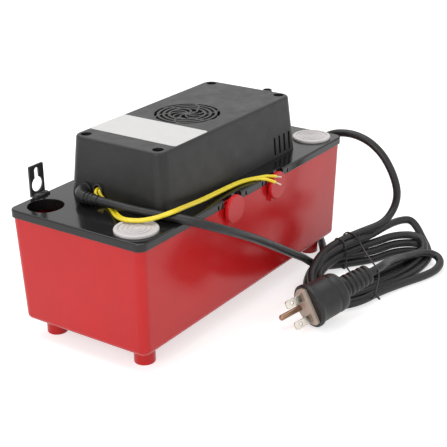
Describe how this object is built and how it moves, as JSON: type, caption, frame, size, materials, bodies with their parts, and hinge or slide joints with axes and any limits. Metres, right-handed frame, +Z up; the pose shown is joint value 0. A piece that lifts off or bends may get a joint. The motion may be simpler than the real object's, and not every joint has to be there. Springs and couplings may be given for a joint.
{
  "type": "condensate pump",
  "caption": "Condensate pump: a red collecting tank with a dark deck and motor cover, drain inlets, float switch, check valve with a hose barb, and a mains cord.",
  "frame": {"origin": "on the floor under the middle of the deck", "axes": "+X along the length, away from the end with the cord outlet; +Y across the width towards the wall brackets; +Z up"},
  "size_m": [0.338, 0.2382, 0.157],
  "materials": {
    "tank_red": "glossy red moulded plastic",
    "deck_black": "glossy dark grey moulded plastic",
    "cover_black": "satin dark grey moulded plastic",
    "plug_ivory": "soft pale pinkish white plastic",
    "bracket_black": "satin black painted sheet",
    "steel": "plain steel",
    "lamination": "stacked steel sheets",
    "nylon": "natural nylon",
    "winding": "enamelled copper wire",
    "bronze": "sintered bronze",
    "pump_black": "black glass filled plastic",
    "float_foam": "pale moulded float",
    "switch_body": "black thermoset",
    "switch_button": "red plastic",
    "rubber": "black rubber",
    "cord": "dark grey cord jacket",
    "lead": "yellow insulation",
    "tinned": "tinned wire",
    "blade": "plated brass",
    "pin_brass": "copper coloured brass"
  },
  "bodies": {
    "housing": {"alarm_lead_back": "lead", "alarm_lead_front": "lead", "alarm_lead_tips": "tinned", "bracket_rivets": "steel", "check_valve": "pump_black", "coil_bobbin": "nylon", "coil_leg": "lamination", "coil_winding": "winding", "cover_screws": "steel", "discharge_pipe": "pump_black", "inlet_plug_near_left": "plug_ivory", "lead_grommet": "rubber", "lid": "deck_black", "lower_bearing_bracket": "steel", "lower_bushing": "bronze", "motor_cover": "cover_black", "motor_screws": "steel", "plug_blades": "blade", "plug_body": "cord", "plug_ground_pin": "pin_brass", "plug_plate": "plug_ivory", "power_cord_hank": "cord", "power_cord_loop": "cord", "power_cord_run": "cord", "power_cord_tail": "cord", "pump_column": "pump_black", "rocker_pin": "steel", "run_switch": "switch_body", "safety_switch": "switch_body", "stator_stack": "lamination", "strain_relief": "cord", "switch_bracket": "steel", "tank": "tank_red", "upper_bearing_bracket": "steel", "upper_bushing": "bronze", "valve_seal": "rubber", "volute": "pump_black", "volute_cover": "pump_black", "wall_bracket_left": "bracket_black", "wall_bracket_right": "bracket_black"},
    "rotor_assembly": {"rotor": "lamination", "motor_shaft": "steel", "cooling_fan": "nylon", "impeller": "nylon"},
    "float": {"switch_float": "float_foam", "float_stem": "nylon"},
    "rocker": {"rocker": "nylon"},
    "run_button": {"run_switch_button": "switch_button"},
    "safety_button": {"safety_switch_button": "switch_button"},
    "valve_ball": {"valve_ball": "rubber"},
    "near_right_plug": {"inlet_plug_near_right": "plug_ivory"},
    "far_right_plug": {"inlet_plug_far_right": "plug_ivory"}
  },
  "joints": [
    {"name": "rotor_spin", "type": "hinge", "parent": "housing", "child": "rotor_assembly", "pos_m": [0, 0, 0.109], "axis": [0, 0, 1], "continuous": true},
    {"name": "float_rise", "type": "slide", "parent": "housing", "child": "float", "axis": [0, 0, 1], "range_m": [0, 0.02]},
    {"name": "rocker_swing", "type": "hinge", "parent": "housing", "child": "rocker", "pos_m": [-0.082, 0, 0.1325], "axis": [0, -1, 0], "range_deg": [0, 46.5]},
    {"name": "run_button_press", "type": "slide", "parent": "housing", "child": "run_button", "axis": [0, 0, 1], "range_m": [0, 0.001], "stiffness_N_per_m": 200},
    {"name": "safety_button_press", "type": "slide", "parent": "housing", "child": "safety_button", "axis": [0, 0, 1], "range_m": [0, 0.001], "stiffness_N_per_m": 200},
    {"name": "ball_lift", "type": "slide", "parent": "housing", "child": "valve_ball", "axis": [0, 0, 1], "range_m": [0, 0.006]},
    {"name": "near_right_plug_pull", "type": "slide", "parent": "housing", "child": "near_right_plug", "axis": [0, 0, 1], "range_m": [0, 0.025]},
    {"name": "far_right_plug_pull", "type": "slide", "parent": "housing", "child": "far_right_plug", "axis": [0, 0, 1], "range_m": [0, 0.025]}
  ],
  "couplings": [
    {"joint": "rocker_swing", "follows": "float_rise", "rad_per_m": 39.478}
  ]
}
